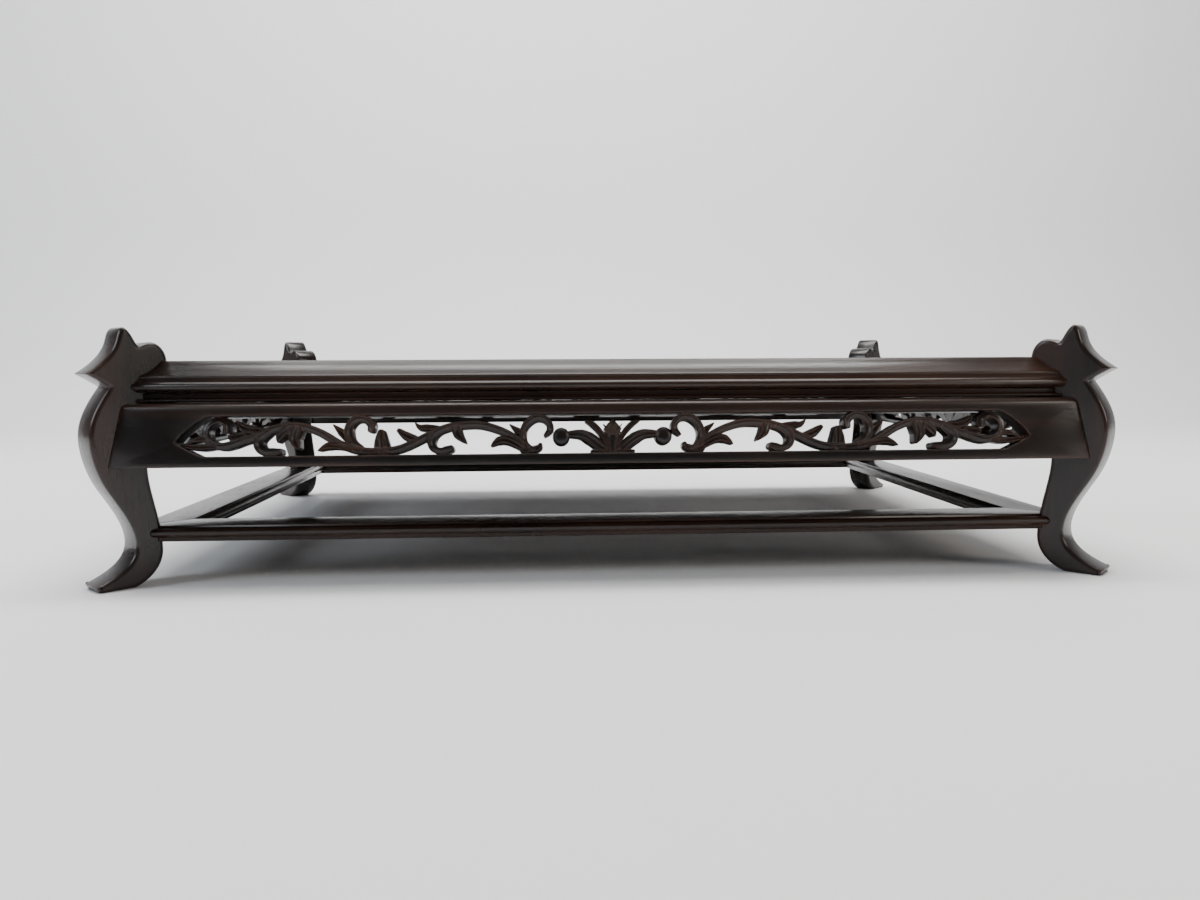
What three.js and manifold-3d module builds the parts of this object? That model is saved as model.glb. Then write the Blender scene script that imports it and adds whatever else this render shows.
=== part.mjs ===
// Low display table of dark hardwood. Four plank legs stand on the diagonals of the corners and rise
// past the top as carved crests. Between them are a moulded top frame with a floating panel, a waist,
// four pierced aprons and a frame of stretchers near the floor.
// Millimetres, +Z up. X runs along the table, the front is at -Y, the origin is on the floor under its middle.
import * as THREE from 'three';
import { mergeVertices } from 'three/addons/utils/BufferGeometryUtils.js';
import Module from 'manifold-3d';

const wasm = await Module();
wasm.setup();

// Plan. The outer top edge of the stretcher frame is the line that everything else is measured from.
const planLength = 600;
const planDepth = 388.4;
const fitGap = 0.3;

// Heights
const topHeight = 140;
const topThickness = 19.4;
const waistHeight = 6.4;
const apronHeight = 38.8;
const stretcherTop = 36.6;
const stretcherThickness = 9.8;
const crestRise = 20.5;

// Legs: u is the distance out from the plan corner along the diagonal.
const legThickness = 22;
const legArrisWidth = 1.6;
const legArrisDepth = 2.2;
const lobeInnerEdge = -20.7;
const shoulderDepth = 5.3;
const apronCrossing = -5.8;
const heelInnerEdge = -12.9;
const kneeReach = 27;
const ankleReach = 3.2;
const toeReach = 28.6;
const toeHeight = 3.6;
const soleInnerEnd = 5;
const crestTipReach = 27;
const crestNeck = 14;
const housingDepth = 3;

// Top frame and panel
const topRailWidth = 46;
const topFlatSetBack = 3.8;
const topNoseReach = 10.1;
const coveDepth = 8.4;
const coveReach = 4.8;
const topNoseHeight = 6.2;
const beadSize = 2.2;
const panelThickness = 10;
const panelTongue = 5;
const panelTongueThickness = 5;
const battenWidth = 26;
const battenDepth = 8;
const battenSpacing = 210;
const dovetailHeight = 2.5;
const battenTenon = 8;

// Waist
const waistFaceReach = 4.8;
const waistThickness = 10;
const waistBeadReach = 3.4;
const waistBeadHeight = 2.2;
const waistTongueWidth = 4;
const waistTongueHeight = 3;

// Aprons
const apronFootReach = 20.9;
const apronThickness = 14;
const apronCant = THREE.MathUtils.degToRad(9.9);
const apronShoulderWidth = 5.5;
const apronShoulderDrop = 3.4;
const apronTenonThickness = 5;
const apronTenonHeight = 16;
const apronTenonDepth = 7;
const openingBottom = 6.8;
const openingTop = 31.4;
const openingTipHeight = 15.3;
const openingTipInset = 33.5;
const openingLowerInset = 50;
const openingUpperInset = 54;
const carvingBack = 11;
const leafRecess = 2;
const scrollRecess = 1;
const stepsPerPoint = 1;

// Stretchers
const stretcherWidth = 26.4;
const stretcherNoseReach = 4.9;
const stretcherNoseHeight = 6;
const stretcherQuirk = 1.2;

// Loose tenons of the mitred corners, cut on the short rails
const mitreGap = 0.3;
const topTenon = { length: 12, width: 12, thickness: 6 };
const stretcherTenon = { length: 9, width: 9, thickness: 3.4 };

const topUnderside = topHeight - topThickness;
const apronTop = topUnderside - waistHeight;
const apronBottom = apronTop - apronHeight;
const stretcherBottom = stretcherTop - stretcherThickness;
const halfLength = planLength / 2;
const halfDepth = planDepth / 2;
const reach = 400;

const wood = (color, roughness) => new THREE.MeshStandardMaterial({ color, roughness, metalness: 0 });
const legWood = wood(0x24160f, 0.36);
const frameWood = wood(0x2b1b13, 0.34);
const carvedWood = wood(0x3a2a20, 0.4);
const panelWood = wood(0x2f1d13, 0.3);
const hiddenWood = wood(0x4a3424, 0.6);

// Solids and geometries

function solid(geometry) {
  const bare = geometry.clone();
  bare.deleteAttribute('normal');
  bare.deleteAttribute('uv');
  const merged = mergeVertices(bare, 1e-4);
  return new wasm.Manifold(new wasm.Mesh({
    numProp: 3,
    vertProperties: new Float32Array(merged.attributes.position.array),
    triVerts: new Uint32Array(merged.index.array),
  }));
}

function geometryOf(body) {
  const mesh = body.getMesh();
  const geometry = new THREE.BufferGeometry();
  geometry.setAttribute('position', new THREE.BufferAttribute(mesh.vertProperties, 3));
  geometry.setIndex(new THREE.BufferAttribute(mesh.triVerts, 1));
  geometry.computeVertexNormals();
  return geometry;
}

function mirrored(geometry) {
  const copy = geometry.clone().scale(-1, 1, 1);
  const index = copy.index.array;
  for (let i = 0; i < index.length; i += 3) {
    [index[i], index[i + 1]] = [index[i + 1], index[i]];
  }
  return copy;
}

function box(xRange, yRange, zRange) {
  const [x0, x1] = xRange;
  const [y0, y1] = yRange;
  const [z0, z1] = zRange;
  return new THREE.BoxGeometry(x1 - x0, y1 - y0, z1 - z0)
    .translate((x0 + x1) / 2, (y0 + y1) / 2, (z0 + z1) / 2);
}

// A moulding section drawn in y and z, run along x
function runAlongX(section, length) {
  const geometry = new THREE.ExtrudeGeometry(section, { depth: length, bevelEnabled: false, curveSegments: 5 });
  geometry.applyMatrix4(new THREE.Matrix4().makeBasis(
    new THREE.Vector3(0, 1, 0), new THREE.Vector3(0, 0, 1), new THREE.Vector3(1, 0, 0)));
  return mergeVertices(stripped(geometry).translate(-length / 2, 0, 0));
}

function stripped(geometry) {
  geometry.deleteAttribute('normal');
  geometry.deleteAttribute('uv');
  return geometry;
}

// A box in diagonal coordinates at the right end of a side: u runs outward along the corner's diagonal
// and w across it, away from the side.
function diagonalBox(uRange, wRange, zRange, halfSide) {
  return box(uRange, wRange, zRange).rotateZ(-Math.PI / 4).translate(halfSide, 0, 0);
}

function cutBothEnds(body, cutter) {
  return body.subtract(solid(cutter)).subtract(solid(mirrored(cutter)));
}

function addBothEnds(body, piece) {
  return body.add(solid(piece)).add(solid(mirrored(piece)));
}

// Legs

function legOutline() {
  const shape = new THREE.Shape();
  const crest = topHeight + crestRise;
  const tip = topHeight - 7.5;
  const neck = topHeight - 15.7;
  const knee = apronBottom + 18.7;
  const calf = stretcherTop + 24.4;
  const ankle = stretcherBottom + 0.7;
  const lobeTop = topHeight + 11.6;
  const lobeNotch = topHeight + 9.8;
  const shoulder = topUnderside - fitGap;
  const heel = stretcherBottom - 4.8;
  shape.moveTo(4.2, crest);
  shape.bezierCurveTo(6.8, crest - 0.7, 7.8, crest - 4, 8.5, crest - 7);
  shape.bezierCurveTo(10.5, crest - 15, 16, tip + 7, crestTipReach, tip);
  shape.quadraticCurveTo(21.5, tip - 3.4, crestNeck, neck);
  shape.bezierCurveTo(crestNeck + 5.5, neck - 8, kneeReach - 0.2, knee + 12, kneeReach, knee);
  shape.bezierCurveTo(kneeReach + 0.2, knee - 11, 23.5, calf + 9.5, 18, calf);
  shape.bezierCurveTo(11, calf - 12, ankleReach + 0.4, ankle + 11, ankleReach, ankle);
  shape.bezierCurveTo(ankleReach - 0.2, ankle - 12.5, 15, toeHeight + 5.4, toeReach, toeHeight);
  shape.lineTo(toeReach - 1.6, 0);
  shape.lineTo(soleInnerEnd, 0);
  shape.bezierCurveTo(-5, 3.5, heelInnerEdge + 0.3, heel - 11, heelInnerEdge, heel);
  shape.bezierCurveTo(heelInnerEdge - 0.3, heel + 18, apronCrossing - 0.2, apronBottom - 17, apronCrossing, apronBottom - 2);
  shape.bezierCurveTo(apronCrossing + 0.1, apronBottom + 15, lobeInnerEdge - shoulderDepth, apronTop - 18,
    lobeInnerEdge - shoulderDepth, apronTop - 2);
  shape.lineTo(lobeInnerEdge - shoulderDepth, shoulder);
  shape.lineTo(lobeInnerEdge, shoulder);
  shape.lineTo(lobeInnerEdge, topHeight);
  shape.bezierCurveTo(lobeInnerEdge + 0.2, topHeight + 6, -16.5, lobeTop - 0.3, -11.5, lobeTop);
  shape.bezierCurveTo(-8, lobeTop + 0.1, -5.5, lobeNotch - 0.4, -3.5, lobeNotch);
  shape.bezierCurveTo(-1.8, lobeNotch + 1.7, 0.2, crest - 2, 4.2, crest);
  return shape;
}

function apronTenonBox(clearance) {
  const middle = -(apronFootReach - apronHeight / 2 * Math.tan(apronCant) - apronThickness / 2);
  const halfThickness = apronTenonThickness / 2 + clearance;
  const end = middle * -1 - (legThickness / 2 - apronTenonDepth) * Math.SQRT2 + clearance;
  const low = apronBottom + (apronHeight - apronTenonHeight) / 2 - clearance;
  return box([-40, end], [middle - halfThickness, middle + halfThickness],
    [low, low + apronTenonHeight + 2 * clearance]);
}

function makeLeg() {
  const geometry = new THREE.ExtrudeGeometry(legOutline(), {
    depth: legThickness - 2 * legArrisDepth,
    bevelEnabled: true,
    bevelThickness: legArrisDepth,
    bevelSize: legArrisWidth,
    bevelOffset: -legArrisWidth,
    bevelSegments: 1,
    curveSegments: 5,
  });
  geometry.translate(0, 0, legArrisDepth - legThickness / 2);
  geometry.applyMatrix4(new THREE.Matrix4().makeBasis(
    new THREE.Vector3(1, 0, 0), new THREE.Vector3(0, 0, 1), new THREE.Vector3(0, -1, 0)));
  let body = solid(geometry);
  const housing = box([-reach, heelInnerEdge + housingDepth], [-reach, reach],
    [stretcherBottom - fitGap, stretcherTop + fitGap]);
  body = body.subtract(solid(housing));
  const mortise = apronTenonBox(fitGap);
  body = body.subtract(solid(mortise.clone().rotateZ(Math.PI / 4)));
  body = body.subtract(solid(mirrored(mortise).rotateZ(3 * Math.PI / 4)));
  return geometryOf(body);
}

// Mitred frames

function cornerTenon(sizes, middleAcross, middleHeight, halfSide, clearance) {
  const start = halfSide - middleAcross - 20;
  const end = halfSide - middleAcross + sizes.length + clearance;
  const halfWidth = sizes.width / 2 + clearance;
  const halfThickness = sizes.thickness / 2 + clearance;
  return box([start, end], [middleAcross - halfWidth, middleAcross + halfWidth],
    [middleHeight - halfThickness, middleHeight + halfThickness]);
}

// The mortise for a short rail's tenon, in the frame of the long rail that it enters
function cornerMortise(sizes, middleAcross, middleHeight, halfSide) {
  const end = middleAcross - sizes.length - fitGap;
  const halfWidth = sizes.width / 2 + fitGap;
  const halfThickness = sizes.thickness / 2 + fitGap;
  return box([halfSide - middleAcross - halfWidth, halfSide - middleAcross + halfWidth], [end, middleAcross + 20],
    [middleHeight - halfThickness, middleHeight + halfThickness]);
}

function fitFrameRail(body, halfSide, slotStart, tenon, isLong) {
  const beyondMitre = diagonalBox([-reach, reach], [-mitreGap / 2, reach], [-reach, reach], halfSide);
  const halfSlot = legThickness / 2 + fitGap;
  const legSlot = diagonalBox([slotStart - fitGap, reach], [-halfSlot, halfSlot], [-reach, reach], halfSide);
  let rail = cutBothEnds(body, beyondMitre);
  if (isLong) {
    rail = cutBothEnds(rail, cornerMortise(tenon.sizes, tenon.across, tenon.height, halfSide));
  } else {
    rail = addBothEnds(rail, cornerTenon(tenon.sizes, tenon.across, tenon.height, halfSide, 0));
  }
  return cutBothEnds(rail, legSlot);
}

function topRailSection() {
  const shape = new THREE.Shape();
  const inner = topRailWidth - topNoseReach;
  const flatEdge = topFlatSetBack;
  const coveEnd = -coveReach;
  const coveFoot = topHeight - coveDepth;
  const beadFoot = coveFoot - beadSize;
  const noseTop = topUnderside + topNoseHeight;
  const noseRoot = -topNoseReach + 2.3;
  shape.moveTo(inner, topUnderside);
  shape.lineTo(inner, topHeight);
  shape.lineTo(flatEdge, topHeight);
  shape.quadraticCurveTo(0, coveFoot + 2.6, coveEnd, coveFoot);
  shape.quadraticCurveTo(coveEnd - 2.2, coveFoot - beadSize / 2, coveEnd - 1.2, beadFoot);
  shape.lineTo(noseRoot, noseTop + 0.5);
  shape.lineTo(noseRoot, noseTop);
  shape.bezierCurveTo(-topNoseReach - 0.4, noseTop - 1.2, -topNoseReach - 0.4, topUnderside + 1.6,
    noseRoot + 0.6, topUnderside);
  return shape;
}

function makeTopRail(halfSide, isLong) {
  let body = solid(runAlongX(topRailSection(), 2 * halfSide + 60));
  const inner = topRailWidth - topNoseReach;
  const tongueBase = topHeight - panelThickness;
  const panelGroove = box([-halfSide - reach, halfSide + reach], [inner - panelTongue - fitGap, inner + 10],
    [tongueBase - fitGap, tongueBase + panelTongueThickness + fitGap]);
  body = body.subtract(solid(panelGroove));
  const waistMiddle = -waistFaceReach + waistThickness / 2;
  const waistGroove = box([-halfSide - reach, halfSide + reach],
    [waistMiddle - waistTongueWidth / 2 - fitGap, waistMiddle + waistTongueWidth / 2 + fitGap],
    [topUnderside - 10, topUnderside + waistTongueHeight + fitGap]);
  body = body.subtract(solid(waistGroove));
  if (isLong) {
    for (const side of [-1, 1]) {
      const middle = side * battenSpacing / 2;
      const mortise = box([middle - battenWidth / 2 - fitGap, middle + battenWidth / 2 + fitGap],
        [inner - battenTenon - fitGap, inner + 10], battenHeights(fitGap));
      body = body.subtract(solid(mortise));
    }
  }
  const tenon = {
    sizes: topTenon,
    across: inner - 4 - topTenon.width / 2,
    height: topUnderside + topTenon.thickness / 2 + 0.8,
  };
  return geometryOf(fitFrameRail(body, halfSide, lobeInnerEdge, tenon, isLong));
}

function stretcherSection() {
  const shape = new THREE.Shape();
  const noseTop = stretcherTop - stretcherQuirk;
  const noseFoot = noseTop - stretcherNoseHeight;
  const root = 1.6;
  const bulge = (stretcherNoseReach - root) * 4 / 3 + root;
  const outward = (y) => -y;
  const inward = (y) => stretcherWidth + y;
  shape.moveTo(inward(0), stretcherTop);
  shape.lineTo(outward(0), stretcherTop);
  shape.lineTo(outward(0.4), noseTop);
  shape.lineTo(outward(root), noseTop);
  shape.bezierCurveTo(outward(bulge), noseTop, outward(bulge), noseFoot, outward(root), noseFoot);
  shape.lineTo(outward(1.3), stretcherBottom);
  shape.lineTo(inward(1.3), stretcherBottom);
  shape.lineTo(inward(root), noseFoot);
  shape.bezierCurveTo(inward(bulge), noseFoot, inward(bulge), noseTop, inward(root), noseTop);
  shape.lineTo(inward(0.4), noseTop);
  return shape;
}

function makeStretcher(halfSide, isLong) {
  const body = solid(runAlongX(stretcherSection(), 2 * halfSide + 60));
  const tenon = {
    sizes: stretcherTenon,
    across: stretcherWidth - 3 - stretcherTenon.width / 2,
    height: (stretcherTop + stretcherBottom) / 2,
  };
  return geometryOf(fitFrameRail(body, halfSide, heelInnerEdge + housingDepth, tenon, isLong));
}

// Panel and battens

function battenHeights(clearance) {
  const top = topHeight - panelThickness - fitGap;
  return [top - battenDepth - clearance, top + clearance];
}

function dovetail(clearance, length) {
  const [, top] = battenHeights(0);
  const narrow = battenWidth / 2 - 5 + clearance;
  const shape = new THREE.Shape();
  shape.moveTo(-narrow, top - 1);
  shape.lineTo(narrow, top - 1);
  shape.lineTo(narrow + 1.5, top + dovetailHeight + clearance);
  shape.lineTo(-narrow - 1.5, top + dovetailHeight + clearance);
  return runAlongX(shape, length).rotateZ(Math.PI / 2);
}

const panelHalfX = halfLength - topRailWidth + topNoseReach;
const panelHalfY = halfDepth - topRailWidth + topNoseReach;

function makePanel() {
  const base = topHeight - panelThickness;
  const halfX = panelHalfX - fitGap;
  const halfY = panelHalfY - fitGap;
  let body = solid(box([-halfX, halfX], [-halfY, halfY], [base, topHeight]));
  const tongue = box([-halfX - panelTongue, halfX + panelTongue], [-halfY - panelTongue, halfY + panelTongue],
    [base, base + panelTongueThickness]);
  body = body.add(solid(tongue));
  for (const side of [-1, 1]) {
    const slot = dovetail(fitGap, planDepth).translate(side * battenSpacing / 2, 0, 0);
    body = body.subtract(solid(slot));
  }
  return geometryOf(body);
}

function makeBatten() {
  const halfSpan = panelHalfY + battenTenon;
  const halfTail = panelHalfY - fitGap;
  const bar = solid(box([-battenWidth / 2, battenWidth / 2], [-halfSpan, halfSpan], battenHeights(0)));
  return geometryOf(bar.add(solid(dovetail(0, 2 * halfTail))));
}

// Waist

function makeWaist(halfSide) {
  const face = -waistFaceReach;
  const back = face + waistThickness;
  const foot = apronTop + fitGap;
  const top = topUnderside - fitGap;
  const middle = (face + back) / 2;
  const shape = new THREE.Shape();
  shape.moveTo(back, foot);
  shape.lineTo(back, top);
  shape.lineTo(middle + waistTongueWidth / 2, top);
  shape.lineTo(middle + waistTongueWidth / 2, top + waistTongueHeight);
  shape.lineTo(middle - waistTongueWidth / 2, top + waistTongueHeight);
  shape.lineTo(middle - waistTongueWidth / 2, top);
  shape.lineTo(face, top);
  shape.lineTo(face, foot + waistBeadHeight);
  shape.lineTo(face - waistBeadReach + waistBeadHeight / 2, foot + waistBeadHeight);
  shape.bezierCurveTo(face - waistBeadReach - 0.3, foot + waistBeadHeight, face - waistBeadReach - 0.3, foot,
    face - waistBeadReach + waistBeadHeight / 2, foot);
  const body = solid(runAlongX(shape, 2 * halfSide + 60));
  const beyondLegFace = diagonalBox([-reach, reach], [-legThickness / 2 - fitGap, reach], [-reach, reach], halfSide);
  return geometryOf(cutBothEnds(body, beyondLegFace));
}

// Aprons

// The carving lies in the plane of the apron's face: x along the apron, h up from its bottom edge.
function onApronFace(geometry) {
  const up = new THREE.Vector3(0, Math.sin(apronCant), Math.cos(apronCant));
  const out = new THREE.Vector3(0, -Math.cos(apronCant), Math.sin(apronCant));
  geometry.applyMatrix4(new THREE.Matrix4().makeBasis(new THREE.Vector3(1, 0, 0), up, out));
  return geometry.translate(0, -apronFootReach, apronBottom);
}

function apronSection() {
  const faceTop = apronHeight - apronShoulderDrop;
  const lean = Math.tan(apronCant);
  const shape = new THREE.Shape();
  const faceAt = (h) => -apronFootReach + h * lean;
  const crown = faceAt(faceTop) + apronShoulderWidth;
  shape.moveTo(faceAt(0), apronBottom);
  shape.lineTo(faceAt(faceTop), apronBottom + faceTop);
  shape.quadraticCurveTo(faceAt(apronHeight), apronTop, crown, apronTop);
  shape.lineTo(faceAt(apronHeight) + apronThickness, apronTop);
  shape.lineTo(faceAt(0) + apronThickness, apronBottom);
  return shape;
}

function openingOutline(halfSide) {
  const lower = halfSide - openingLowerInset;
  const tip = halfSide - openingTipInset;
  const upper = halfSide - openingUpperInset;
  const shape = new THREE.Shape();
  shape.moveTo(-lower, openingBottom);
  shape.lineTo(lower, openingBottom);
  shape.quadraticCurveTo(lower + 9, openingBottom + 4, tip, openingTipHeight);
  shape.quadraticCurveTo(upper + 10, openingTop - 3, upper, openingTop);
  shape.lineTo(-upper, openingTop);
  shape.quadraticCurveTo(-upper - 10, openingTop - 3, -tip, openingTipHeight);
  shape.quadraticCurveTo(-lower - 9, openingBottom + 4, -lower, openingBottom);
  return shape;
}

// A leaf or stem: a curve through the route's points, with a half width at each of them
function stem(route, halfWidths) {
  const curve = new THREE.SplineCurve(route.map(([x, h]) => new THREE.Vector2(x, h)));
  const steps = Math.max(3, Math.ceil((route.length - 1) * stepsPerPoint));
  const left = [];
  const right = [];
  for (let i = 0; i <= steps; i += 1) {
    const point = curve.getPoint(i / steps);
    const along = curve.getTangent(i / steps);
    const place = i / steps * (route.length - 1);
    const before = Math.floor(place);
    const after = Math.min(before + 1, halfWidths.length - 1);
    const half = THREE.MathUtils.lerp(halfWidths[before], halfWidths[after], place - before);
    left.push(new THREE.Vector2(point.x - along.y * half, point.y + along.x * half));
    right.unshift(new THREE.Vector2(point.x + along.y * half, point.y - along.x * half));
  }
  const startPoint = curve.getPoint(0).addScaledVector(curve.getTangent(0), -0.7 * halfWidths[0]);
  const endPoint = curve.getPoint(1).addScaledVector(curve.getTangent(1), 0.7 * halfWidths.at(-1));
  return new THREE.Shape([startPoint, ...left, endPoint, ...right]);
}

function bud(x, h, halfWidth, halfHeight) {
  const shape = new THREE.Shape();
  shape.absellipse(x, h, halfWidth, halfHeight, 0, Math.PI * 2);
  return new THREE.Shape(shape.getPoints(3).slice(0, -1));
}

// Central bud and its leaves, then the scroll beside them. Each entry is [route, half widths, recess].
const middleStems = [
  [[[0, 7.5], [0, 15], [0, 22], [0, 27]], [1.6, 3.2, 5.6, 1], scrollRecess],
  [[[0, 7.8], [13, 7.8]], [1.6, 1.2], leafRecess],
  [[[1.5, 8.5], [4.5, 15], [8.5, 21], [12.5, 25], [17, 26.8]], [1.2, 1.6, 2, 2, 0.4], scrollRecess],
  [[[4, 8], [10, 13], [15, 16.5], [20, 18.7], [27, 18.8]], [3.2, 4, 4, 3.2, 2.2], scrollRecess],
  [[[42, 18], [39, 21.5], [39.5, 25.5], [43, 28.7], [48, 29], [53, 25.5], [55.3, 21], [55.3, 16], [53.5, 12],
    [50, 9.5]], [1.2, 2.4, 2.2, 2.4, 2.6, 2.6, 2.4, 2.2, 2, 1.8], scrollRecess],
  [[[45, 12.5], [46, 10.5], [50, 9.2], [56, 9.2]], [1.4, 2.4, 2.6, 2.4], leafRecess],
  [[[56, 19.5], [59.5, 21.5], [64, 25.2]], [2.5, 2.2, 0.3], leafRecess],
  [[[55, 9.5], [60, 13], [66, 15.5], [71, 15], [75.4, 11.8]], [2, 2.8, 3, 2.8, 0.5], leafRecess],
];

// Leaves and scrolls on the long wave of the vine
const waveStems = [
  [[[97, 23.5], [95.5, 19], [91, 14]], [3.5, 3.2, 0.6], leafRecess],
  [[[104, 23], [109.5, 20], [112, 15.5], [111, 11], [107, 9], [103, 9.5], [100, 10.5]],
    [2.2, 2.8, 2.8, 2.4, 2.2, 2.8, 2.4], scrollRecess],
  [[[108, 23.5], [115, 23.8], [119, 23.8], [122, 26.5]], [1.5, 2.2, 2, 0.4], leafRecess],
  [[[122, 16.5], [127.5, 18.5], [132, 22]], [2.5, 3, 1.6], leafRecess],
  [[[142.5, 10], [143, 16], [142.8, 21]], [5.5, 4.2, 2.4], leafRecess],
  [[[149, 22.5], [149, 26], [153, 29.2], [158, 29], [162, 24.8], [162.5, 20], [160.5, 15], [155, 11]],
    [2.4, 2.8, 2.4, 2.4, 2.6, 2.8, 2.4, 1.8], scrollRecess],
  [[[163, 16], [167, 21], [172, 26]], [2, 2.5, 0.3], leafRecess],
  [[[161, 10.5], [168, 12.5], [175, 12.8], [181, 10]], [1.6, 2.2, 2.6, 0.4], leafRecess],
];

// The stems near an end are given by their distance in from the end of the side.
const endStems = [
  [[[106, 23], [104.5, 17.5], [107, 12]], [4, 4.2, 1.4], leafRecess],
  [[[100, 23], [96, 19], [95, 15.5]], [3, 3, 0.8], leafRecess],
  [[[89, 21.5], [84, 17.5], [83.5, 13], [86.5, 9.8], [92, 9.3], [96, 9.5]], [2.2, 3, 3, 2.8, 2.7, 2.2], scrollRecess],
  [[[86, 22.5], [78, 23], [74, 24.5], [70, 28.5]], [2, 3, 2.8, 0.4], leafRecess],
  [[[74, 19], [67, 18.5]], [3.4, 2.6], leafRecess],
  [[[53, 17.5], [47, 17.5], [40.5, 15]], [2, 2, 0.3], leafRecess],
  [[[57, 13], [48, 12.5], [37.5, 13.6]], [1.6, 2.2, 1.4], leafRecess],
];
const vineStart = [[55, 12], [63, 18], [72, 22.3], [82, 25]];
const vineWave = [[92, 25], [101, 23.8], [110, 20.5], [120, 15.5], [130, 11], [140, 9.1], [150, 9.1], [160, 10.5],
  [170, 15], [180, 21], [190, 24.7]];
const vineEnd = [[101, 25.2], [91, 23], [82, 19], [74, 16.5], [68, 14.3], [61, 13], [54, 15.5], [51.5, 20.5],
  [53, 26], [59, 29.3], [64, 27], [64.5, 22.5]];
const vineHalfWidth = 2.5;

function carvingStems(halfSide, isLong) {
  const fromEnd = (route) => route.map(([inset, h]) => [halfSide - inset, h]);
  const vine = [...vineStart, ...(isLong ? vineWave : []), ...fromEnd(vineEnd)];
  return [
    ...middleStems,
    ...(isLong ? waveStems : []),
    ...endStems.map(([route, halfWidths, recess]) => [fromEnd(route), halfWidths, recess]),
    [vine, vine.map(() => vineHalfWidth), scrollRecess],
  ];
}

function carve(shape, recess) {
  const depth = carvingBack - recess;
  return solid(new THREE.ExtrudeGeometry(shape, { depth, bevelEnabled: false }).translate(0, 0, -carvingBack));
}

function makeCarving(halfSide, isLong) {
  let carving = carve(bud(32, 17.3, 5.4, 5.8), scrollRecess).add(carve(bud(-32, 17.3, 5.4, 5.8), scrollRecess));
  for (const [route, halfWidths, recess] of carvingStems(halfSide, isLong)) {
    const mirroredRoute = route.map(([x, h]) => [-x, h]);
    carving = carving.add(carve(stem(route, halfWidths), recess));
    carving = carving.add(carve(stem(mirroredRoute, halfWidths), recess));
  }
  return onApronFace(geometryOf(carving));
}

function makeApron(halfSide, isLong) {
  const opening = onApronFace(new THREE.ExtrudeGeometry(openingOutline(halfSide), {
    depth: 3 * apronThickness,
    bevelEnabled: false,
    curveSegments: 4,
  }).translate(0, 0, -2 * apronThickness));
  let body = solid(runAlongX(apronSection(), 2 * halfSide + 80)).subtract(solid(opening));
  body = body.add(solid(makeCarving(halfSide, isLong)));
  const beyondLegFace = diagonalBox([-reach, reach], [-legThickness / 2 - fitGap, reach], [-reach, reach], halfSide);
  body = cutBothEnds(body, beyondLegFace);
  return geometryOf(addBothEnds(body, apronTenonBox(0).translate(halfSide, 0, 0)));
}

// Assembly

const table = new THREE.Group();

function addMesh(name, geometry, material, parent) {
  const mesh = new THREE.Mesh(geometry, material);
  mesh.name = name;
  parent.add(mesh);
  return mesh;
}

const longPieces = {
  top_rail: makeTopRail(halfLength, true),
  waist: makeWaist(halfLength),
  apron: makeApron(halfLength, true),
  stretcher: makeStretcher(halfLength, true),
};
const shortPieces = {
  top_rail: makeTopRail(halfDepth, false),
  waist: makeWaist(halfDepth),
  apron: makeApron(halfDepth, false),
  stretcher: makeStretcher(halfDepth, false),
};
const sideMaterials = { top_rail: frameWood, waist: frameWood, apron: carvedWood, stretcher: frameWood };
const sides = [
  { name: 'front', turn: 0, x: 0, y: -halfDepth, pieces: longPieces },
  { name: 'right', turn: Math.PI / 2, x: halfLength, y: 0, pieces: shortPieces },
  { name: 'back', turn: Math.PI, x: 0, y: halfDepth, pieces: longPieces },
  { name: 'left', turn: -Math.PI / 2, x: -halfLength, y: 0, pieces: shortPieces },
];
for (const side of sides) {
  const group = new THREE.Group();
  group.position.set(side.x, side.y, 0);
  group.rotation.z = side.turn;
  table.add(group);
  for (const [kind, geometry] of Object.entries(side.pieces)) {
    addMesh(`${kind}_${side.name}`, geometry, sideMaterials[kind], group);
  }
}

const legGeometry = makeLeg();
const corners = [
  { name: 'front_right', x: halfLength, y: -halfDepth, turn: -Math.PI / 4 },
  { name: 'back_right', x: halfLength, y: halfDepth, turn: Math.PI / 4 },
  { name: 'back_left', x: -halfLength, y: halfDepth, turn: 3 * Math.PI / 4 },
  { name: 'front_left', x: -halfLength, y: -halfDepth, turn: -3 * Math.PI / 4 },
];
for (const corner of corners) {
  const leg = addMesh(`leg_${corner.name}`, legGeometry, legWood, table);
  leg.position.set(corner.x, corner.y, 0);
  leg.rotation.z = corner.turn;
}

addMesh('top_panel', makePanel(), panelWood, table);
const battenGeometry = makeBatten();
for (const [name, side] of [['batten_left', -1], ['batten_right', 1]]) {
  const batten = addMesh(name, battenGeometry, hiddenWood, table);
  batten.position.x = side * battenSpacing / 2;
}

export default table;
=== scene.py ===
"""Looks of the low display table: dark lacquered hardwood in soft studio light."""
import math

import bmesh
import bpy
from mathutils import Matrix, Vector


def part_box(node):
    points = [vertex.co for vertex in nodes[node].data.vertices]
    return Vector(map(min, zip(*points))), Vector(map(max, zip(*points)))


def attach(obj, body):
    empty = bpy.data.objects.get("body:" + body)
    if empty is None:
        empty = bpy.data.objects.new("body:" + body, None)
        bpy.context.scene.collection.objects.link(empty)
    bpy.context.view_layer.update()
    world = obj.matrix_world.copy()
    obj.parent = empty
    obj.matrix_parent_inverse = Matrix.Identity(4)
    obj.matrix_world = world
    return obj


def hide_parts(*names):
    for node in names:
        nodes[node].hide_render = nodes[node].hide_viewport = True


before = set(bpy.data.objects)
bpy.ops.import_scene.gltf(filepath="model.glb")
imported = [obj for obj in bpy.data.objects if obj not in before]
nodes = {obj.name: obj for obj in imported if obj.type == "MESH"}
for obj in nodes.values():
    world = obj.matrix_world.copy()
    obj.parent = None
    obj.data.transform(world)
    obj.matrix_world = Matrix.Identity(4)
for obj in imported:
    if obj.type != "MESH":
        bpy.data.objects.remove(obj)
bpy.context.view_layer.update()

MM = 0.001
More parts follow.
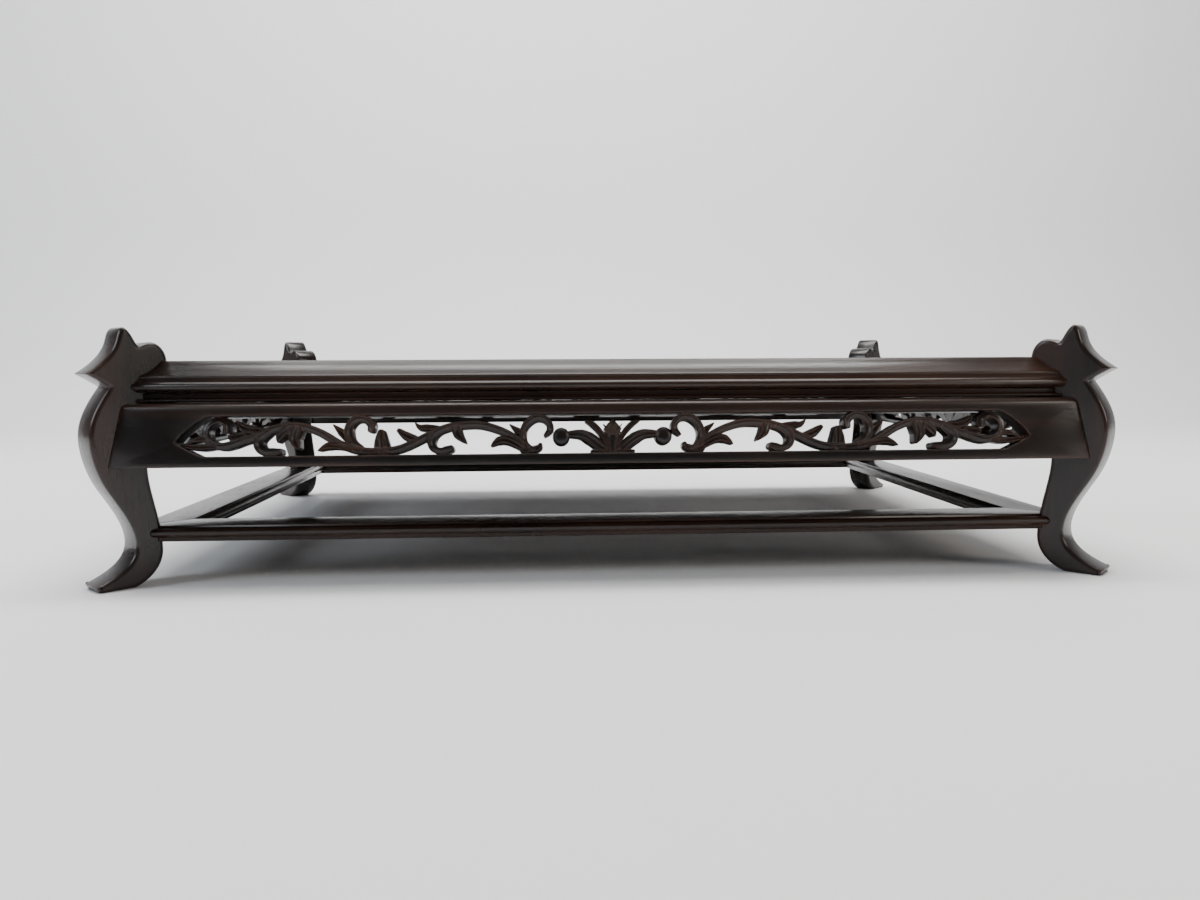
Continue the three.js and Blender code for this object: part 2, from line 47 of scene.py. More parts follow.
TOP_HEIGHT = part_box("top_panel")[1][2]

# Camera, solved on the edges of the table in the photograph (1200 x 900)
CAMERA_PLACE = (-0.0388, -0.7802, 0.1372)
CAMERA_FOCUS_PX = 919.8
CAMERA_YAW = 0.054
CAMERA_PITCH = 0.094
CAMERA_ROLL = -0.005
PHOTO_WIDTH_PX = 1200
SENSOR_MM = 36


class Value:
    """A socket of a finish's nodes. Arithmetic on it adds Math nodes."""

    def __init__(self, finish, socket):
        self.finish = finish
        self.socket = socket

    def math(self, operation, other):
        return self.finish.node("ShaderNodeMath", {"operation": operation}, {0: self, 1: other})

    def __add__(self, other):
        return self.math("ADD", other)

    def __sub__(self, other):
        return self.math("SUBTRACT", other)

    def __rsub__(self, other):
        return self.finish.node("ShaderNodeMath", {"operation": "SUBTRACT"}, {0: other, 1: self})

    def __mul__(self, other):
        return self.math("MULTIPLY", other)

    __radd__ = __add__
    __rmul__ = __mul__

    def clamped(self):
        return self.finish.node("ShaderNodeClamp", {}, {0: self})


class Finish:
    """One material and the nodes that it is painted with."""

    def __init__(self, name):
        self.material = bpy.data.materials.new(name)
        self.material.use_nodes = True
        self.tree = self.material.node_tree
        self.shader = self.tree.nodes["Principled BSDF"]

    def node(self, kind, settings, inputs, output=0):
        made = self.tree.nodes.new(kind)
        for name, setting in settings.items():
            setattr(made, name, setting)
        for name, value in inputs.items():
            self.plug(made.inputs[name], value)
        return Value(self, made.outputs[output])

    def plug(self, socket, value):
        if isinstance(value, Value):
            self.tree.links.new(value.socket, socket)
        else:
            socket.default_value = value

    def blend(self, factor, first, second):
        """A colour between two colours, by the colour sockets of a Mix node."""
        return self.node("ShaderNodeMix", {"data_type": "RGBA"}, {0: factor, 6: first, 7: second}, 2)

    def noise(self, coordinates, scale, detail=4, roughness=0.55):
        return self.node("ShaderNodeTexNoise", {},
                         {"Vector": coordinates, "Scale": scale, "Detail": detail, "Roughness": roughness})

    def band(self, value, low, high):
        return self.node("ShaderNodeMapRange", {}, {0: value, 1: low, 2: high, 3: 0.0, 4: 1.0})

    def set(self, **inputs):
        for name, value in inputs.items():
            self.plug(self.shader.inputs[name.replace("_", " ")], value)


def colour(red, green, blue):
    return (red, green, blue, 1)


# The pattern is drawn out along the direction in which the grain runs
GRAIN = {"x": (0.07, 1, 1), "y": (1, 0.07, 1), "z": (1, 1, 0.07)}
SIDE_GRAIN = {"front": "x", "back": "x", "left": "y", "right": "y"}
PORE = colour(0.004, 0.003, 0.003)
BLACK = colour(0.005, 0.0034, 0.003)
BROWN = colour(0.028, 0.012, 0.007)
LEG_BLACK = colour(0.005, 0.0028, 0.0022)
LEG_BROWN = colour(0.028, 0.0098, 0.0055)
BATTEN_BROWN = colour(0.03, 0.018, 0.011)
BATTEN_PALE = colour(0.08, 0.048, 0.028)
# Lighter brown for the edges: partly wear, partly a painted highlight along the arrises
RUBBED_AND_HIGHLIGHT = colour(0.11, 0.044, 0.022)
ARRIS_RADIUS = 1.4 * MM

# How often each pattern of the wood repeats over a metre
FIGURE_SCALE = 26
FIBRE_SCALE = 420
PORE_SCALE = 900
PATCH_SCALE = 9


def dark_wood(name, grain, black, brown, rubbed_and_highlight, gloss, coat, rubbing_and_highlight):
    """Almost black hardwood under lacquer, browner in streaks, and lighter brown on the edges: partly wear,
    partly a painted highlight along the arrises.
    """
    finish = Finish(name)
    place = finish.node("ShaderNodeTexCoord", {}, {}, "Object")
    along = finish.node("ShaderNodeMapping", {}, {"Vector": place, "Scale": GRAIN[grain]})
    figure = finish.noise(along, FIGURE_SCALE, 5)
    fibres = finish.noise(along, FIBRE_SCALE, 3)
    pores = finish.band(finish.noise(along, PORE_SCALE, 2, 0.4), 0.60, 0.70)
    patches = finish.noise(place, PATCH_SCALE, 4)
    smooth_normal = finish.node("ShaderNodeBevel", {"samples": 4}, {"Radius": ARRIS_RADIUS})
    true_normal = finish.node("ShaderNodeNewGeometry", {}, {}, "True Normal")
    facing = finish.node("ShaderNodeVectorMath", {"operation": "DOT_PRODUCT"},
                         {0: smooth_normal, 1: true_normal}, "Value")
    # Edge mask from the rounded normals: the edges take a lighter brown, partly wear and partly a painted
    # highlight
    edges = finish.band(1 - facing, 0.01, 0.14) * rubbing_and_highlight
    streaks = finish.band(figure, 0.42, 0.68)
    body = finish.blend(streaks * 0.8 + finish.band(patches, 0.5, 0.8) * 0.35, black, brown)
    worn_and_highlit = finish.blend((edges * finish.band(patches, 0.3, 0.6)).clamped(), body, rubbed_and_highlight)
    painted = finish.blend(pores * 0.5, worn_and_highlit, PORE)
    rough = gloss + finish.band(patches, 0.35, 0.75) * 0.12 + fibres * 0.06 + pores * 0.1
    height = fibres * 0.5 + figure * 0.6 - pores * 0.5
    bump = finish.node("ShaderNodeBump", {}, {"Strength": 0.12, "Distance": 0.0006, "Height": height,
                                              "Normal": smooth_normal})
    finish.set(Base_Color=painted, Roughness=rough, Coat_Weight=coat, Normal=bump)
    finish.set(Coat_Roughness=0.1, Coat_IOR=1.45, IOR=1.45, Specular_IOR_Level=0.36)
    return finish.material


# The last column sets how strongly the edges take the lighter brown: partly wear, partly painted highlight
FINISH_TABLE = {
    "frame": {"black": BLACK, "brown": BROWN, "gloss": 0.24, "coat": 0.2, "rubbing_and_highlight": 0.45},
    "leg": {"black": LEG_BLACK, "brown": LEG_BROWN, "gloss": 0.22, "coat": 0.25, "rubbing_and_highlight": 0.5},
    "carving": {"black": BLACK, "brown": BROWN, "gloss": 0.28, "coat": 0.15, "rubbing_and_highlight": 0.7},
    "batten": {"black": BATTEN_BROWN, "brown": BATTEN_PALE, "gloss": 0.5, "coat": 0.0, "rubbing_and_highlight": 0.2},
}
finishes = {}


def finish_for(kind, grain):
    """The finish of one kind of piece, made once for each direction of its grain."""
    key = f"{kind}_{grain}"
    if key not in finishes:
        finishes[key] = dark_wood(key, grain, rubbed_and_highlight=RUBBED_AND_HIGHLIGHT, **FINISH_TABLE[kind])
    return finishes[key]


def show(mesh, name, node, finish, sharp_degrees=38):
    """Puts a finished mesh in the place of one piece of the construction."""
    for face in mesh.polygons:
        face.use_smooth = True
    mesh.set_sharp_from_angle(angle=math.radians(sharp_degrees))
    mesh.materials.clear()
    mesh.materials.append(finish)
    piece = bpy.data.objects.new(name, mesh)
    bpy.context.scene.collection.objects.link(piece)
    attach(piece, "root")
    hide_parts(node)
    return piece


def settled(source):
    """The mesh of an object with its modifiers applied; the object itself goes."""
    graph = bpy.context.evaluated_depsgraph_get()
    mesh = bpy.data.meshes.new_from_object(source.evaluated_get(graph))
    bpy.data.objects.remove(source)
    return mesh


# Straight pieces: rails, waists, panel and battens

EASED_EDGE = 0.45 * MM


def ease_edges(node_name):
    """A copy of a straight piece with its sharp edges eased."""
    work = bmesh.new()
    work.from_mesh(nodes[node_name].data)
    bmesh.ops.remove_doubles(work, verts=work.verts, dist=0.02 * MM)
    bmesh.ops.dissolve_limit(work, angle_limit=math.radians(0.5), verts=work.verts, edges=work.edges)
    mesh = bpy.data.meshes.new(f"{node_name}_work")
    work.to_mesh(mesh)
    work.free()
    source = bpy.data.objects.new(f"{node_name}_work", mesh)
    bpy.context.scene.collection.objects.link(source)
    bevel = source.modifiers.new("eased", "BEVEL")
    bevel.width = EASED_EDGE
    bevel.segments = 2
    bevel.limit_method = "ANGLE"
    bevel.angle_limit = math.radians(50)
    return settled(source)


def make_straight_pieces():
    for name in nodes:
        kind, side = name.rsplit("_", 1)
        if kind in ("top_rail", "waist", "stretcher"):
            slot, finish = "frame_wood", finish_for("frame", SIDE_GRAIN[side])
        elif name == "top_panel":
            slot, finish = "panel_wood", finish_for("frame", "x")
        elif kind == "batten":
            slot, finish = "hidden_wood", finish_for("batten", "y")
        else:
            continue
        show(ease_edges(name), f"{name}_eased", name, finish)


# Legs, planks set on the diagonals of the plan. Heights and reaches are in millimetres.

LEG_THICKNESS = 22 * MM
LEG_ROUNDING = 2.3 * MM
STRETCHER_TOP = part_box("stretcher_front")[1][2] / MM
STRETCHER_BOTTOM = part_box("stretcher_front")[0][2] / MM
APRON_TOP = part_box("apron_front")[1][2] / MM
APRON_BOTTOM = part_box("apron_front")[0][2] / MM
TOP = TOP_HEIGHT / MM
UNDER_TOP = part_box("top_rail_front")[0][2] / MM
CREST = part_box("leg_front_left")[1][2] / MM
HALF_LENGTH = 300
HALF_DEPTH = 194.2
LEG_CORNERS = {"front_right": (1, -1, -45), "back_right": (1, 1, 45), "back_left": (-1, 1, 135),
               "front_left": (-1, -1, -135)}


def leg_outline():
    """The leg seen broadside, outward along +x: (point, handle leaving the last point, handle arriving)."""
    tip = TOP - 7.5
    neck = TOP - 15.7
    knee = APRON_BOTTOM + 18.7
    calf = STRETCHER_TOP + 24.4
    ankle = STRETCHER_BOTTOM + 0.7
    lobe = TOP + 11.6
    notch = TOP + 9.8
    heel = STRETCHER_BOTTOM - 4.8
    return [
        ((4.2, CREST), (-1.8, notch + 1.7), (0.2, CREST - 2)),
        ((8.5, CREST - 7), (6.8, CREST - 0.7), (7.8, CREST - 4)),
        ((27, tip), (10.5, CREST - 15), (16, tip + 7)),
        ((14, neck), (22.8, tip - 2.6), (18, neck + 3)),
        ((27, knee), (19.5, neck - 8), (26.8, knee + 12)),
        ((18, calf), (27.2, knee - 11), (23.5, calf + 9.5)),
        ((3.2, ankle), (11, calf - 12), (3.6, ankle + 11)),
        ((27.6, 3.6), (3.0, ankle - 12.5), (14, 9)),
        ((26, 0), None, None),
        ((5, 0), None, None),
        ((-12.9, heel), (-5, 3.5), (-12.6, heel - 11)),
        ((-5.8, APRON_BOTTOM - 2), (-13.2, heel + 18), (-6, APRON_BOTTOM - 17)),
        ((-26, APRON_TOP - 2), (-5.7, APRON_BOTTOM + 15), (-26, APRON_TOP - 18)),
        ((-26, UNDER_TOP - 0.3), None, None),
        ((-20.7, UNDER_TOP - 0.3), None, None),
        ((-20.7, TOP), None, None),
        ((-11.5, lobe), (-20.5, TOP + 6), (-16.5, lobe - 0.3)),
        ((-3.5, notch), (-8, lobe + 0.1), (-5.5, notch - 0.4)),
    ]


def leg_mesh():
    """The outline thickened to a plank with rounded arrises, stood upright."""
    data = bpy.data.curves.new("leg_outline", "CURVE")
    data.dimensions = "2D"
    data.fill_mode = "BOTH"
    data.resolution_u = 10
    data.extrude = LEG_THICKNESS / 2 - LEG_ROUNDING
    data.bevel_depth = LEG_ROUNDING
    data.bevel_resolution = 3
    data.offset = -LEG_ROUNDING
    outline = leg_outline()
    spline = data.splines.new("BEZIER")
    spline.bezier_points.add(len(outline) - 1)
    spline.use_cyclic_u = True
    for number, (point, leaving, arriving) in enumerate(outline):
        before = spline.bezier_points[number - 1]
        here = spline.bezier_points[number]
        here.co = Vector((*point, 0)) * MM
        for knot in (before, here):
            knot.handle_left_type = "FREE"
            knot.handle_right_type = "FREE"
        last = outline[number - 1][0]
        before.handle_right = Vector((*(leaving or last), 0)) * MM
        here.handle_left = Vector((*(arriving or point), 0)) * MM
    source = bpy.data.objects.new("leg_outline", data)
    bpy.context.scene.collection.objects.link(source)
    mesh = settled(source)
    mesh.transform(Matrix.Rotation(math.pi / 2, 4, "X"))
    return mesh


def make_legs():
    shape = leg_mesh()
    for corner, (side_x, side_y, turn) in LEG_CORNERS.items():
        mesh = shape.copy()
        place = Vector((side_x * HALF_LENGTH, side_y * HALF_DEPTH, 0)) * MM
        mesh.transform(Matrix.Translation(place) @ Matrix.Rotation(math.radians(turn), 4, "Z"))
        show(mesh, f"leg_{corner}_rounded", f"leg_{corner}", finish_for("leg", "z"), 50)


# Aprons, in millimetres: x along the side, y in from its outer line, h up the apron's face

APRON_FOOT_REACH = 20.9
APRON_THICKNESS = 14
APRON_CANT = math.radians(9.9)
APRON_HEIGHT = APRON_TOP - APRON_BOTTOM
SHOULDER_WIDTH = 5.5
SHOULDER_DROP = 3.4
FIT_GAP = 0.3
OPENING = {"bottom": 6.8, "top": 31.4, "tip": 15.3, "tip_inset": 33.5, "lower_inset": 50, "upper_inset": 54}

# Depths of the carving's crowns and its back below the apron's face
SCROLL_CROWN = 0
LEAF_CROWN = 1.2
CARVING_BACK = 11

# Stems of the carving: (section, route of (x, h), half widths along it). The other half mirrors them.
MIDDLE_STEMS = [
    ("leaf", [(0, 7.8), (13, 7.8)], [1.6, 1.2]),
    ("leaf", [(1.5, 8.5), (4.5, 15), (8.5, 21), (12.5, 25), (17, 26.8)], [1.2, 1.6, 2, 2, 0.4]),
    ("leaf", [(4, 8), (10, 13), (15, 16.5), (20, 18.7), (27, 18.8)], [3.2, 4, 4, 3.2, 2.2]),
    ("scroll", [(42, 18), (39, 21.5), (39.5, 25.5), (43, 28.7), (48, 29), (53, 25.5), (55.3, 21),
                (55.3, 16), (53.5, 12), (50, 9.5)], [1.2, 2.4, 2.2, 2.4, 2.6, 2.6, 2.4, 2.2, 2, 1.8]),
    ("leaf", [(45, 12.5), (46, 10.5), (50, 9.2), (56, 9.2)], [1.4, 2.4, 2.6, 2.4]),
    ("leaf", [(56, 19.5), (59.5, 21.5), (64, 25.2)], [2.5, 2.2, 0.3]),
    ("leaf", [(55, 9.5), (60, 13), (66, 15.5), (71, 15), (75.4, 11.8)], [2, 2.8, 3, 2.8, 0.5]),
]
WAVE_STEMS = [
    ("leaf", [(97, 23.5), (95.5, 19), (91, 14)], [3.5, 3.2, 0.6]),
    ("scroll", [(104, 23), (109.5, 20), (112, 15.5), (111, 11), (107, 9), (103, 9.5), (100, 10.5)],
     [2.2, 2.8, 2.8, 2.4, 2.2, 2.8, 2.4]),
    ("leaf", [(108, 23.5), (115, 23.8), (119, 23.8), (122, 26.5)], [1.5, 2.2, 2, 0.4]),
    ("leaf", [(122, 16.5), (127.5, 18.5), (132, 22)], [2.5, 3, 1.6]),
    ("leaf", [(142.5, 10), (143, 16), (142.8, 21)], [5.5, 4.2, 2.4]),
    ("scroll", [(149, 22.5), (149, 26), (153, 29.2), (158, 29), (162, 24.8), (162.5, 20), (160.5, 15),
                (155, 11)], [2.4, 2.8, 2.4, 2.4, 2.6, 2.8, 2.4, 1.8]),
    ("leaf", [(163, 16), (167, 21), (172, 26)], [2, 2.5, 0.3]),
    ("leaf", [(161, 10.5), (168, 12.5), (175, 12.8), (181, 10)], [1.6, 2.2, 2.6, 0.4]),
]
# Distances in from the end of the side
END_STEMS = [
    ("leaf", [(106, 23), (104.5, 17.5), (107, 12)], [4, 4.2, 1.4]),
    ("leaf", [(100, 23), (96, 19), (95, 15.5)], [3, 3, 0.8]),
    ("scroll", [(89, 21.5), (84, 17.5), (83.5, 13), (86.5, 9.8), (92, 9.3), (96, 9.5)],
     [2.2, 3, 3, 2.8, 2.7, 2.2]),
    ("leaf", [(86, 22.5), (78, 23), (74, 24.5), (70, 28.5)], [2, 3, 2.8, 0.4]),
    ("leaf", [(74, 19), (70, 18.8), (67, 18.5)], [3.4, 3.2, 2.6]),
    ("leaf", [(53, 17.5), (47, 17.5), (40.5, 15)], [2, 2, 0.3]),
    ("leaf", [(57, 13), (48, 12.5), (37.5, 13.6)], [1.6, 2.2, 1.4]),
]
VINE_START = [(55, 12), (63, 18), (72, 22.3), (82, 25)]
VINE_WAVE = [(92, 25), (101, 23.8), (110, 20.5), (120, 15.5), (130, 11), (140, 9.1), (150, 9.1),
             (160, 10.5), (170, 15), (180, 21), (190, 24.7)]
VINE_END = [(101, 25.2), (91, 23), (82, 19), (74, 16.5), (68, 14.3), (61, 13), (54, 15.5), (51.5, 20.5),
            (53, 26), (59, 29.3), (64, 27), (64.5, 22.5)]
VINE_HALF_WIDTH = 2.5
ROUND_BUD = {"x": 32, "h": 17.3, "half_width": 5.4, "half_height": 5.8}
CENTRE_BUD = ("rib", [(0, 7.5), (0, 15), (0, 22), (0, 27)], [1.6, 3.2, 5.6, 1])
CENTRE_BUD_CROWN = 0.8
HATCH_SPACING = 3
HATCH_LEAN = 2.6
HATCH_CROWN = -0.3
HATCH_BACK = 4

# Sections of the carving: (place across the half width, depth below the crown)
SECTIONS = {
    "leaf": [(-1, 3.4), (-0.93, 1.6), (-0.72, 0.5), (-0.4, 0.3), (-0.12, 1.0), (0, 1.7), (0.12, 1.0),
             (0.4, 0.3), (0.72, 0.5), (0.93, 1.6), (1, 3.4)],
    "scroll": [(-1, 3.6), (-0.9, 2.6), (-0.55, 2.3), (-0.1, 2.1), (0.25, 1.2), (0.45, 0.2), (0.68, 0),
               (0.88, 0.5), (0.98, 1.7), (1, 3)],
    "rib": [(-1, 1.2), (-0.6, 0.3), (0, 0), (0.6, 0.3), (1, 1.2)],
}


def to_side(x, h, out):
    """From the plane of the apron's face to the frame of a side, in metres."""
    y = -APRON_FOOT_REACH + h * math.sin(APRON_CANT) - out * math.cos(APRON_CANT)
    z = APRON_BOTTOM + h * math.cos(APRON_CANT) + out * math.sin(APRON_CANT)
    return Vector((x, y, z)) * MM


def bend(start, corner, end, t):
    """A point on the curve that leaves start and reaches end, drawn towards the corner."""
    return tuple((1 - t) ** 2 * a + 2 * t * (1 - t) * b + t * t * c for a, b, c in zip(start, corner, end))


def curve_through(points, steps_each=5):
    """A smooth line through points: (position, place along the list)."""
    line = []
    count = len(points)
    for i in range(count - 1):
        p0 = Vector(points[max(i - 1, 0)])
        p1 = Vector(points[i])
        p2 = Vector(points[i + 1])
        p3 = Vector(points[min(i + 2, count - 1)])
        for step in range(steps_each + (i == count - 2)):
            t = step / steps_each
            place = 0.5 * (2 * p1 + (p2 - p0) * t + (2 * p0 - 5 * p1 + 4 * p2 - p3) * t * t
                           + (3 * p1 - p0 - 3 * p2 + p3) * t ** 3)
            line.append((place, i + t))
    return line


def rounded_end(station, direction):
    """Stations that narrow past the end of a stem."""
    place, heading, half = station
    reach = 0.8
    return [(place + direction * heading * half * t * reach, heading, half * math.sqrt(1 - t * t))
            for t in (0.35, 0.7, 0.92)]


def stem_rings(route, half_widths, section, crown_depth, back, flip=False):
    """Rings of (x, h, out) round a stem that runs along a route, with rounded ends."""
    full_half_width = 2.2
    thin_half_width = 1.6
    line = curve_through(route)
    stations = []
    for number, (place, along) in enumerate(line):
        before = line[max(number - 1, 0)][0]
        after = line[min(number + 1, len(line) - 1)][0]
        heading = (after - before).normalized()
        low = min(int(along), len(half_widths) - 2)
        half = half_widths[low] + (half_widths[low + 1] - half_widths[low]) * (along - low)
        stations.append((place, heading, half))
    stations = rounded_end(stations[0], -1)[::-1] + stations + rounded_end(stations[-1], 1)
    rings = []
    for place, heading, half in stations:
        side = Vector((-heading.y, heading.x)) * (-1 if flip else 1)
        crown = crown_depth + max(0.0, thin_half_width - half) * 0.8
        ring = []
        for across, drop in SECTIONS[section]:
            spot = place + side * across * half
            ring.append((spot.x, spot.y, -crown - drop * min(1, half / full_half_width)))
        for across in (1, -1):
            spot = place + side * across * half
            ring.append((spot.x, spot.y, -back))
        rings.append(ring)
    return rings


def add_rings(work, rings):
    """A closed skin over rings of (x, h, out), capped at both ends."""
    grid = [[work.verts.new(to_side(*spot)) for spot in ring] for ring in rings]
    width = len(grid[0])
    for row, following in zip(grid, grid[1:]):
        for i in range(width):
            j = (i + 1) % width
            work.faces.new((row[i], row[j], following[j], following[i]))
    work.faces.new(grid[0][::-1])
    work.faces.new(grid[-1])


def add_round_bud(work, x, h, half_width, half_height):
    """A round bud with a crowned face: rings of (share of the full size, depth)."""
    around = 28
    levels = [(1.0, CARVING_BACK), (1.0, 4.5), (0.97, 3.0), (0.86, 1.7), (0.66, 0.9), (0.4, 0.55),
              (0.15, 0.45)]
    angles = [2 * math.pi * i / around for i in range(around)]
    rings = []
    for share, depth in levels:
        rings.append([(x + half_width * share * math.cos(angle), h + half_height * share * math.sin(angle),
                       -depth) for angle in angles])
    add_rings(work, rings)


def add_hatching(work):
    """Fine crossed ribs on the bud in the middle."""
    foot, crossing, head = 17.5, 21, 24.5
    half_widths = [0.4, 0.5, 0.4]
    for lean in (-HATCH_LEAN, HATCH_LEAN):
        for shift in (-HATCH_SPACING, 0, HATCH_SPACING):
            rib = [(shift - lean, foot + abs(shift) * 0.4), (shift, crossing), (shift + lean, head)]
            add_rings(work, stem_rings(rib, half_widths, "rib", HATCH_CROWN, HATCH_BACK))


def carving_stems(half_side, is_long):
    """The stems of one half of a side. A short side leaves out the wave in the middle of the vine."""
    def from_end(route):
        return [(half_side - inset, h) for inset, h in route]

    vine = VINE_START + (VINE_WAVE if is_long else []) + from_end(VINE_END)
    stems = list(MIDDLE_STEMS) + (list(WAVE_STEMS) if is_long else [])
    stems += [(section, from_end(route), half_widths) for section, route, half_widths in END_STEMS]
    stems.append(("scroll", vine, [VINE_HALF_WIDTH] * len(vine)))
    return stems


def apron_section():
    """The board's outline in (y, z), the shoulder finely rounded."""
    lean = math.tan(APRON_CANT)
    face_top = APRON_HEIGHT - SHOULDER_DROP
    foot = (-APRON_FOOT_REACH, 0)
    start = (-APRON_FOOT_REACH + face_top * lean, face_top)
    knee = (-APRON_FOOT_REACH + APRON_HEIGHT * lean, APRON_HEIGHT)
    crown = (start[0] + SHOULDER_WIDTH, APRON_HEIGHT)
    steps = 8
    line = [foot] + [bend(start, knee, crown, step / steps) for step in range(steps + 1)]
    line.append((knee[0] + APRON_THICKNESS, APRON_HEIGHT))
    line.append((foot[0] + APRON_THICKNESS, 0))
    return line


def opening_outline(half_side):
    """The cartouche in (x, h): flat above and below, pointed at both ends."""
    steps = 8
    lower = half_side - OPENING["lower_inset"]
    tip = half_side - OPENING["tip_inset"]
    upper = half_side - OPENING["upper_inset"]
    bends = [((lower, OPENING["bottom"]), (lower + 9, OPENING["bottom"] + 4), (tip, OPENING["tip"])),
             ((tip, OPENING["tip"]), (upper + 10, OPENING["top"] - 3), (upper, OPENING["top"]))]
    right = [bend(*points, step / steps) for points in bends for step in range(steps + 1)]
    second_tip = steps + 1
    del right[second_tip]
    return right + [(-x, h) for x, h in reversed(right)]


def mesh_object(name, build):
    """A new object whose mesh is filled by a function."""
    work = bmesh.new()
    build(work)
    bmesh.ops.recalc_face_normals(work, faces=work.faces)
    mesh = bpy.data.meshes.new(name)
    work.to_mesh(mesh)
    work.free()
    made = bpy.data.objects.new(name, mesh)
    bpy.context.scene.collection.objects.link(made)
    return made


def board_mesh(half_side):
    """The apron's board with its opening cut and the edges eased."""
    end_offset = (LEG_THICKNESS / MM / 2 + FIT_GAP) * math.sqrt(2)
    in_front, behind = 20, -40

    def board(work):
        section = apron_section()
        rings = []
        for end in (-1, 1):
            ring = [Vector((end * (half_side - end_offset - y), y, APRON_BOTTOM + z)) for y, z in section]
            rings.append([work.verts.new(corner * MM) for corner in ring])
        count = len(section)
        for i in range(count):
            j = (i + 1) % count
            work.faces.new((rings[0][i], rings[0][j], rings[1][j], rings[1][i]))
        work.faces.new(rings[0][::-1])
        work.faces.new(rings[1])

    def opening(work):
        outline = opening_outline(half_side)
        near = [work.verts.new(to_side(x, h, in_front)) for x, h in outline]
        far = [work.verts.new(to_side(x, h, behind)) for x, h in outline]
        for i in range(len(outline)):
            j = (i + 1) % len(outline)
            work.faces.new((near[i], near[j], far[j], far[i]))
        work.faces.new(near[::-1])
        work.faces.new(far)

    base = mesh_object("apron_board", board)
    cutter = mesh_object("apron_opening", opening)
    cut = base.modifiers.new("opening", "BOOLEAN")
    cut.operation = "DIFFERENCE"
    cut.solver = "EXACT"
    cut.object = cutter
    bevel = base.modifiers.new("eased", "BEVEL")
    bevel.width = 0.6 * MM
    bevel.segments = 2
    bevel.limit_method = "ANGLE"
    bevel.angle_limit = math.radians(35)
    mesh = settled(base)
    bpy.data.objects.remove(cutter)
    return mesh


def apron_mesh(half_side, is_long):
    """The board and the carving in its opening."""
    work = bmesh.new()
    work.from_mesh(board_mesh(half_side))
    carving = bmesh.new()
    for mirror in (1, -1):
        for section, route, half_widths in carving_stems(half_side, is_long):
            crown = SCROLL_CROWN if section == "scroll" else LEAF_CROWN
            placed = [(mirror * x, h) for x, h in route]
            add_rings(carving, stem_rings(placed, half_widths, section, crown, CARVING_BACK, mirror < 0))
        add_round_bud(carving, mirror * ROUND_BUD["x"], ROUND_BUD["h"], ROUND_BUD["half_width"],
                      ROUND_BUD["half_height"])
    section, route, half_widths = CENTRE_BUD
    add_rings(carving, stem_rings(route, half_widths, section, CENTRE_BUD_CROWN, CARVING_BACK))
    add_hatching(carving)
    bmesh.ops.recalc_face_normals(carving, faces=carving.faces)
    mesh = bpy.data.meshes.new("carving")
    carving.to_mesh(mesh)
    carving.free()
    work.from_mesh(mesh)
    joined = bpy.data.meshes.new("apron")
    work.to_mesh(joined)
    work.free()
    return joined


def make_aprons():
    shapes = {True: apron_mesh(HALF_LENGTH, True), False: apron_mesh(HALF_DEPTH, False)}
    sides = {"front": (0, -HALF_DEPTH, 0), "right": (HALF_LENGTH, 0, 90), "back": (0, HALF_DEPTH, 180),
             "left": (-HALF_LENGTH, 0, -90)}
    for side, (x, y, turn) in sides.items():
        mesh = shapes[side in ("front", "back")].copy()
        place = Vector((x, y, 0)) * MM
        mesh.transform(Matrix.Translation(place) @ Matrix.Rotation(math.radians(turn), 4, "Z"))
        finish = finish_for("carving", SIDE_GRAIN[side])
        show(mesh, f"apron_{side}_carved", f"apron_{side}", finish)


def add_camera():
    forward = Vector((math.sin(CAMERA_YAW) * math.cos(CAMERA_PITCH),
                      math.cos(CAMERA_YAW) * math.cos(CAMERA_PITCH), -math.sin(CAMERA_PITCH)))
    level_right = Vector((math.cos(CAMERA_YAW), -math.sin(CAMERA_YAW), 0))
    level_up = level_right.cross(forward)
    right = math.cos(CAMERA_ROLL) * level_right + math.sin(CAMERA_ROLL) * level_up
    up = math.cos(CAMERA_ROLL) * level_up - math.sin(CAMERA_ROLL) * level_right
    data = bpy.data.cameras.new("photo_camera")
    data.sensor_fit = "HORIZONTAL"
    data.sensor_width = SENSOR_MM
    data.lens = CAMERA_FOCUS_PX / PHOTO_WIDTH_PX * SENSOR_MM
    data.clip_start = 0.01
    camera = bpy.data.objects.new("photo_camera", data)
    turn = Matrix((right, up, -forward)).transposed().to_4x4()
    camera.matrix_world = Matrix.Translation(Vector(CAMERA_PLACE)) @ turn
    bpy.context.scene.collection.objects.link(camera)
    bpy.context.scene.camera = camera


def plain_finish(name, shade, roughness):
    finish = Finish(name)
    place = finish.node("ShaderNodeTexCoord", {}, {}, "Object")
    mottle = finish.noise(place, 4, 3)
    finish.set(Base_Color=finish.blend(mottle * 0.3, shade, colour(*[c * 0.9 for c in shade[:3]])),
               Roughness=roughness)
    return finish.material


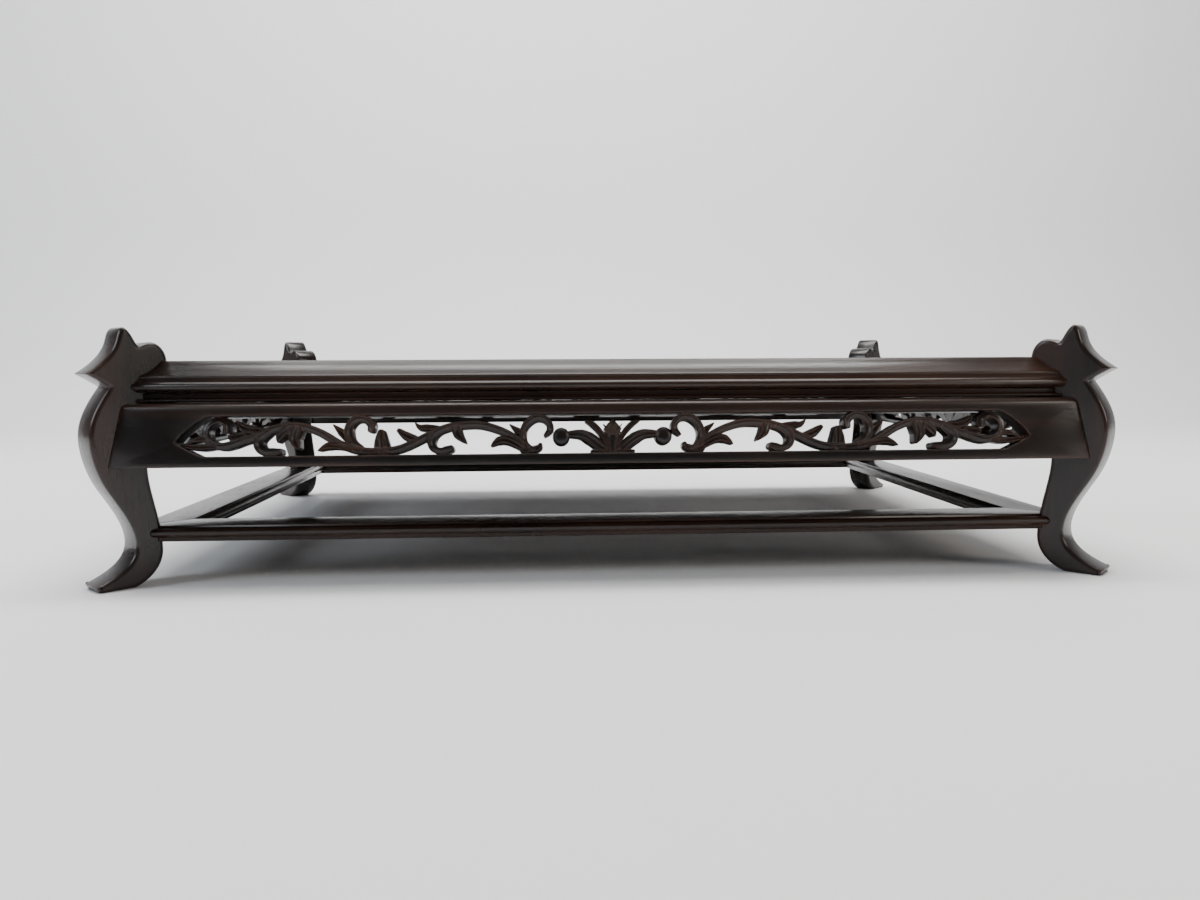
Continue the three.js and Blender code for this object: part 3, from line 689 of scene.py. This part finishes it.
def add_stage():
    """A pale floor that rises behind the table in one sweep."""
    half_width = 4.0
    front, back, height, radius = -3.0, 1.6, 2.6, 0.5
    steps = 12
    line = [(front, 0.0)]
    for step in range(steps + 1):
        turn = math.pi / 2 * step / steps
        line.append((back - radius + radius * math.sin(turn), radius - radius * math.cos(turn)))
    line.append((back, height))
    verts = [(side * half_width, y, z) for y, z in line for side in (-1, 1)]
    faces = [(2 * i, 2 * i + 1, 2 * i + 3, 2 * i + 2) for i in range(len(line) - 1)]
    mesh = bpy.data.meshes.new("floor_sweep")
    mesh.from_pydata(verts, [], faces)
    for face in mesh.polygons:
        face.use_smooth = True
    floor = bpy.data.objects.new("floor_sweep", mesh)
    mesh.materials.append(plain_finish("pale_floor", colour(0.8, 0.8, 0.81), 0.8))
    bpy.context.scene.collection.objects.link(floor)


def add_light(name, place, aim, size, watts, tint):
    data = bpy.data.lights.new(name, "AREA")
    data.shape = "RECTANGLE"
    data.size, data.size_y = size
    data.energy = watts
    data.color = tint
    light = bpy.data.objects.new(name, data)
    light.location = place
    light.rotation_euler = (Vector(aim) - Vector(place)).to_track_quat("-Z", "Y").to_euler()
    bpy.context.scene.collection.objects.link(light)


def add_lights():
    middle = (0, 0, TOP_HEIGHT / 2)
    add_light("overhead_softbox", (0, 0.1, 1.9), middle, (2.2, 1.2), 52, (1.0, 0.98, 0.95))
    add_light("left_softbox", (-2.2, -0.9, 1.2), middle, (1.0, 1.0), 30, (0.86, 0.93, 1.0))
    add_light("right_softbox", (2.2, -1.2, 0.9), middle, (0.9, 0.9), 22, (1.0, 0.93, 0.84))
    add_light("backdrop_wash", (0, 0.3, 2.3), (0, 1.6, 0.7), (3.0, 0.6), 62, (1, 1, 1))
    world = bpy.data.worlds.new("studio")
    world.use_nodes = True
    world.node_tree.nodes["Background"].inputs["Color"].default_value = (0.85, 0.88, 0.9, 1)
    world.node_tree.nodes["Background"].inputs["Strength"].default_value = 0.13
    bpy.context.scene.world = world


add_camera()
make_straight_pieces()
make_legs()
make_aprons()
add_stage()
add_lights()
